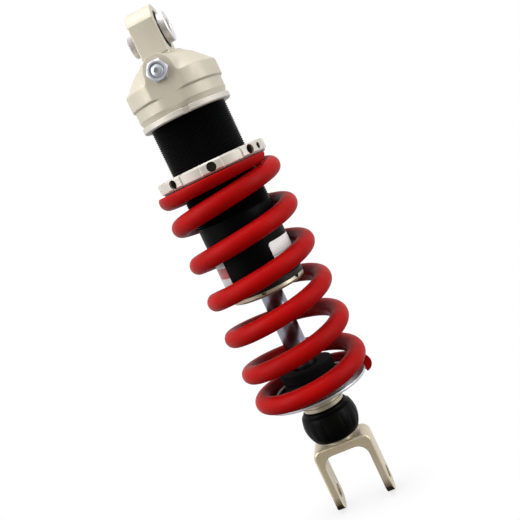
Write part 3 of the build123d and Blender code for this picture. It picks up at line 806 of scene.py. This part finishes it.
@dataclass
class ReboundKnob:
    """Barrel-shaped adjuster with long, shallow finger flutes."""

    outline: Outline = field(default_factory=lambda: [
        (10.6, -278.1), (15.4, -278.1), (15.9, -278.3), (16.1, -279.0), (16.3, -279.5), (17.9, -280.6),
        (18.4, -281.4), (18.9, -283.0), (19.4, -285.2), (19.75, -287.4), (19.8, -289.2), (19.6, -291.2),
        (19.2, -293.4), (18.5, -295.6), (17.6, -297.6), (16.7, -299.2), (16.1, -300.0), (15.2, -300.5),
        (14.6, -300.6), (10.6, -300.6), (10.6, -297.1), (12.4, -297.1), (12.4, -288.5), (10.6, -288.5)])
    flutes: int = 18
    depth: float = 0.26
    span: tuple[float, float] = (-297.5, -282.5)
    run_out: float = 3.0
    skin_r: float = 14.0

    def build(self, material: bpy.types.Material) -> bpy.types.Object:
        """Makes the knob.

        Args:
            material: its finish.

        Returns:
            The knob's object.
        """
        bm = Workshop.lathe(self.outline, 288)
        low, high = self.span
        for vert in bm.verts:
            radius, z = math.hypot(vert.co.x, vert.co.y) / MM, vert.co.z / MM
            if radius < self.skin_r or not low < z < high:
                continue
            fade = min((z - low) / self.run_out, (high - z) / self.run_out, 1.0)
            wave = 0.5 + 0.5 * math.cos(self.flutes * math.atan2(vert.co.y, vert.co.x))
            kept = 1 - self.depth * fade * wave ** 3 / radius
            vert.co.x *= kept
            vert.co.y *= kept
        return Workshop.dress(Workshop.finish_mesh(bm, "rebound_knob_barrel", 35.0), material)


@dataclass
class BumpStop:
    """Moulded foam buffer with round edges and a shallow waist."""

    radius: float = 19.4
    waist_r: float = 18.6
    top: float = -246.6
    foot: float = -261.3
    bore: float = 8.3
    corner: float = 1.6
    waist_half: float = 0.5
    slope_half: float = 1.2

    def build(self, material: bpy.types.Material) -> bpy.types.Object:
        """Makes the buffer.

        Args:
            material: its finish.

        Returns:
            The buffer's object.
        """
        waist = (self.top + self.foot) / 2
        corners = [(self.bore, self.foot), (self.radius, self.foot), (self.radius, waist - self.slope_half),
                   (self.waist_r, waist - self.waist_half), (self.waist_r, waist + self.waist_half),
                   (self.radius, waist + self.slope_half), (self.radius, self.top), (self.bore, self.top)]
        bm = Workshop.lathe(Workshop.ease(corners, self.corner, 5))
        return Workshop.dress(Workshop.finish_mesh(bm, "bump_stop_foam", 40.0), material)


@dataclass
class SpringSeat:
    """Thin flanged steel seat, and the dark rubber liner that fills its dish."""

    rim: Outline = field(default_factory=lambda: [
        (8.02, -265.0), (36.6, -265.0), (37.0, -264.9), (37.2, -264.6), (37.2, -263.5), (37.0, -263.2),
        (36.6, -263.1), (28.0, -263.1), (27.9, -259.6), (27.6, -259.15), (27.2, -259.0), (26.9, -259.15),
        (26.7, -259.6), (26.2, -262.0), (25.8, -262.4), (8.02, -262.4)])
    lining: Outline = field(default_factory=lambda: [
        (21.0, -262.38), (25.7, -262.38), (26.55, -260.2), (26.3, -260.0), (25.4, -262.0), (21.0, -262.05)])
    steps: int = 180

    def seat(self, metal: bpy.types.Material) -> bpy.types.Object:
        """Makes the seat."""
        bm = Workshop.lathe(self.rim, self.steps)
        return Workshop.dress(Workshop.finish_mesh(bm, "spring_seat"), metal)

    def liner(self, rubber: bpy.types.Material) -> bpy.types.Object:
        """Makes the seat's liner."""
        bm = Workshop.lathe(self.lining, self.steps)
        return Workshop.dress(Workshop.finish_mesh(bm, "spring_seat_liner"), rubber)


@dataclass
class TubeLabel:
    """Thin blank label with round corners, wrapped on the tube."""

    name: str
    turns: tuple[float, float]
    heights: tuple[float, float]
    corner: float = 2.2
    tube_r: float = 26.87
    thick: float = 0.12
    columns: int = 64

    def build(self, material: bpy.types.Material) -> bpy.types.Object:
        """Makes the label.

        Args:
            material: its finish.

        Returns:
            The label's object.
        """
        first, last = (math.radians(a) for a in self.turns)
        low, high = self.heights
        bm = bmesh.new()
        bmesh.ops.create_grid(bm, x_segments=self.columns, y_segments=1, size=1.0)
        for vert in bm.verts:
            turn = first + (last - first) * (1 + math.sin(math.pi * vert.co.x / 2)) / 2
            edge = max(min(turn - first, last - turn) * self.tube_r, 0.0)
            short = max(self.corner - edge, 0.0)
            cut = self.corner - math.sqrt(self.corner ** 2 - short ** 2)
            z = low + cut if vert.co.y < 0 else high - cut
            vert.co = (self.tube_r * math.sin(turn) * MM, -self.tube_r * math.cos(turn) * MM, z * MM)
        grown = bmesh.ops.extrude_face_region(bm, geom=list(bm.faces))
        wider = 1 + self.thick / self.tube_r
        bmesh.ops.scale(bm, vec=(wider, wider, 1.0), verts=Workshop.new_verts(grown))
        return Workshop.dress(Workshop.finish_mesh(bm, self.name, 30.0), material)


class Assembly:
    """Builds the new pieces and puts each in place of its plain CAD node."""

    @staticmethod
    def fit(piece: bpy.types.Object, body: str, slot: str, *nodes: str) -> bpy.types.Object:
        """Rides a piece on a body, in place of CAD nodes.

        Args:
            piece: the new piece.
            body: the body that it moves with.
            slot: the record's material slot; not used.
            nodes: the CAD nodes that it stands for.

        Returns:
            The piece.
        """
        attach(piece, body)
        if nodes:
            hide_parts(*nodes)
        LOG.info("%s rides on %s", piece.name, body)
        return piece

    def build(self) -> None:
        """Makes every new piece."""
        champagne = CHAMPAGNE.build()
        self.fit(HeadCasting().build(champagne), "damper_body", "champagne_anodised", "top_mount_head")
        self.fit(EyeLug().build(champagne), "damper_body", "champagne_anodised", "top_mount_head")
        right = TubeLabel("label_right", (35, 105), (-178.0, -156.5))
        self.fit(right.build(LABEL_WHITE.build()), "damper_body", "white_label", "tube_label_right")
        left = TubeLabel("label_left", (-112, -40), (-176.0, -152.0))
        self.fit(left.build(LABEL_GREY.build()), "damper_body", "grey_label", "tube_label_left")
        self.fit(ReboundKnob().build(KNOB_BLACK.build()), "rebound_adjuster", "black_plastic", "rebound_knob")
        foam = self.fit(BumpStop().build(FOAM_BLACK.build()), "rod_assembly", "black_foam", "bump_stop")
        seat = SpringSeat()
        self.fit(seat.seat(SEAT_SILVER.build()), "rod_assembly", "silver_anodised", "lower_spring_seat")
        self.fit(seat.liner(RUBBER_BLACK.build()), "rod_assembly", "black_rubber")
        CoilSpring().build(SPRING_RED.build())


# ---- finishes of the CAD pieces -------------------------------------------------------------------------
@dataclass(frozen=True)
class Wardrobe:
    """Which finish each shown CAD piece wears."""

    dressed: dict[Finish, list[str]] = field(default_factory=lambda: {
        CAP_CHAMPAGNE: ["end_cap", "seat_collar"],
        FORK_TAN: ["clevis"],
        RING_SILVER: ["head_lock_ring", "preload_ring"],
        BRIGHT_STEEL: ["eye_collars", "piston_nut"],
        VALVE_STEEL: ["gas_valve_body", "gas_valve_screw"],
        BEARING_STEEL: ["bearing_outer_race", "bearing_ball", "bearing_circlips", "compression_shims",
                        "rebound_shims", "knob_circlip", "detent_balls", "detent_springs", "rebound_needle",
                        "adjuster_pin"],
        BRONZE: ["guide_bush", "piston", "piston_band"],
        TUBE_BLACK: ["damper_tube", "floating_piston"],
        GUIDE_BLACK: ["rod_guide", "preload_lock_screw", "slip_washer"],
        KNOB_BLACK: ["bump_stop_cup"],
        RUBBER_BLACK: ["bearing_dust_seals", "head_o_ring", "guide_o_ring", "rod_seal", "rod_wiper",
                       "floating_piston_o_ring"],
        FOAM_BLACK: ["top_out_washer"],
        ROD_CHROME: ["piston_rod"],
    })

    def put_on(self) -> None:
        """Dresses every CAD node that is still shown."""
        for finish, names in self.dressed.items():
            material = finish.build()
            for name in names:
                Workshop.dress(frame["nodes"][name], material)
                LOG.info("%s wears %s", name, finish.name)


# ---- studio ---------------------------------------------------------------------------------------------
@dataclass(frozen=True)
class Lamp:
    """A rectangular lamp that faces the middle of the object; its place and size are in metres."""

    name: str
    place: Point
    size: tuple[float, float]
    watts: float
    target: Point = (0.0, 0.0, -0.17)

    def build(self) -> None:
        """Hangs the lamp."""
        data = bpy.data.lights.new(self.name, "AREA")
        data.shape, data.energy = "RECTANGLE", self.watts
        data.size, data.size_y = self.size
        lamp = Workshop.place(self.name, data)
        lamp.location = self.place
        lamp.rotation_euler = (Vector(self.target) - Vector(self.place)).to_track_quat("-Z", "Y").to_euler()


@dataclass
class Studio:
    """White surroundings, a pale floor below, three lamps, and the camera of the main view."""

    azimuth: float = 9.41
    distance: float = 535.8
    height: float = -102.6
    aside: float = 0.7
    pitch: float = 5.52
    roll: float = 25.21
    lens: float = 54.66
    shift: tuple[float, float] = (0.02, -0.03)
    floor_z: float = -353.0
    floor_half: float = 3000.0
    shadow_reach: float = 35.0
    shadow_tone: float = 0.75
    sky_strength: float = 0.9
    card_towards: Point = (0.16, -0.97, -0.18)
    card_spread: tuple[float, float] = (0.45, 0.95)
    card: Colour = (0.34, 0.31, 0.26)
    ground_z: tuple[float, float] = (-0.35, -0.75)
    ground_tone: float = 0.06
    lamps: tuple[Lamp, ...] = (
        Lamp("key_left", (-0.75, -0.45, 0.35), (0.5, 0.9), 7.0),
        Lamp("fill_right", (0.85, -0.25, 0.05), (0.4, 0.9), 4.0),
        Lamp("top", (0.0, -0.1, 0.9), (0.7, 0.7), 6.0))

    def camera(self) -> None:
        """Sets up the main camera, turned and rolled about the middle of the object."""
        turn, tilt, roll = (math.radians(a) for a in (self.azimuth, self.pitch, self.roll))
        right = Vector((math.cos(turn), math.sin(turn), 0.0))
        away = Vector((math.sin(turn), -math.cos(turn), 0.0))
        back = away * math.cos(tilt) + Vector((0.0, 0.0, math.sin(tilt)))
        up = back.cross(right)
        rolled_right = right * math.cos(roll) - up * math.sin(roll)
        rolled_up = up * math.cos(roll) + right * math.sin(roll)
        place = (away * self.distance + right * self.aside + Vector((0.0, 0.0, self.height))) * MM
        data = bpy.data.cameras.new("main_view")
        data.lens, data.sensor_width = self.lens, 36.0
        data.shift_x, data.shift_y = self.shift
        data.clip_start, data.clip_end = 0.01, 20.0
        camera = Workshop.place("main_view", data)
        columns = (rolled_right.to_4d(), rolled_up.to_4d(), back.to_4d())
        for column in columns:
            column.w = 0.0
        camera.matrix_world = Matrix((*columns, place.to_4d())).transposed()
        bpy.context.scene.camera = camera

    def world(self) -> None:
        """White to the eye; to the object, a soft sky with a dark card in front and dark ground below."""
        world = bpy.data.worlds.new("white_studio")
        world.use_nodes = True
        g = Wiring(world.node_tree)
        way = g.node("ShaderNodeTexCoord").outputs["Generated"]
        towards = g.node("ShaderNodeVectorMath", {0: way, 1: self.card_towards}, operation="DOT_PRODUCT")
        card = g.node("ShaderNodeValToRGB", {0: towards.outputs["Value"]})
        card.color_ramp.interpolation = "EASE"
        for stop, position, colour in zip(card.color_ramp.elements, self.card_spread, (WHITE, self.card)):
            stop.position, stop.color = position, (*colour, 1.0)
        ground = g.span(g.axis("Z", way), *self.ground_z, 1.0, self.ground_tone)
        sky = g.node("ShaderNodeVectorMath", {0: card.outputs[0], "Scale": ground}, operation="SCALE")
        felt = g.node("ShaderNodeBackground", {"Color": sky.outputs[0], "Strength": self.sky_strength})
        seen = g.node("ShaderNodeBackground", {"Color": WHITE, "Strength": 1.0})
        eye = g.node("ShaderNodeLightPath").outputs["Is Camera Ray"]
        mix = g.node("ShaderNodeMixShader", {0: eye, 1: felt.outputs[0], 2: seen.outputs[0]})
        g.node("ShaderNodeOutputWorld", {"Surface": mix.outputs[0]})
        bpy.context.scene.world = world

    def floor(self) -> None:
        """A pale floor just below the fork, open from below, with a soft shadow close to the object."""
        material = bpy.data.materials.new("pale_floor")
        material.use_nodes = True
        g = Wiring(material.node_tree)
        near = g.node("ShaderNodeAmbientOcclusion", {"Distance": self.shadow_reach * MM}, samples=8)
        tone = g.span(near.outputs["AO"], 0.0, 1.0, self.shadow_tone, 1.0)
        glow, clear = g.node("ShaderNodeEmission", {"Color": tone}), g.node("ShaderNodeBsdfTransparent")
        below = g.node("ShaderNodeNewGeometry").outputs["Backfacing"]
        mix = g.node("ShaderNodeMixShader", {0: below, 1: glow.outputs[0], 2: clear.outputs[0]})
        g.node("ShaderNodeOutputMaterial", {"Surface": mix.outputs[0]})
        bm = bmesh.new()
        level = Matrix.Translation((0.0, 0.0, self.floor_z * MM))
        bmesh.ops.create_grid(bm, x_segments=1, y_segments=1, size=self.floor_half * MM, matrix=level)
        mesh = bpy.data.meshes.new("studio_floor")
        bm.to_mesh(mesh)
        bm.free()
        floor = Workshop.place("studio_floor", mesh)
        for ray in ("diffuse", "glossy", "transmission", "shadow"):
            setattr(floor, f"visible_{ray}", False)
        Workshop.dress(floor, material)

    def build(self) -> None:
        """Makes everything round the object."""
        self.camera()
        self.world()
        self.floor()
        bpy.context.scene.view_settings.view_transform = "Standard"
        for lamp in self.lamps:
            lamp.build()
        LOG.info("studio: camera, world, floor and %d lamps", len(self.lamps))


def write_size() -> None:
    """Updates the view layer; nothing is written."""
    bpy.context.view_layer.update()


def main() -> None:
    """Builds and dresses the shock absorber and its surroundings."""
    logging.basicConfig(level=logging.INFO, format="%(message)s")
    write_size()
    Wardrobe().put_on()
    Assembly().build()
    Studio().build()
    write_size()


if __name__ == "__main__":
    main()
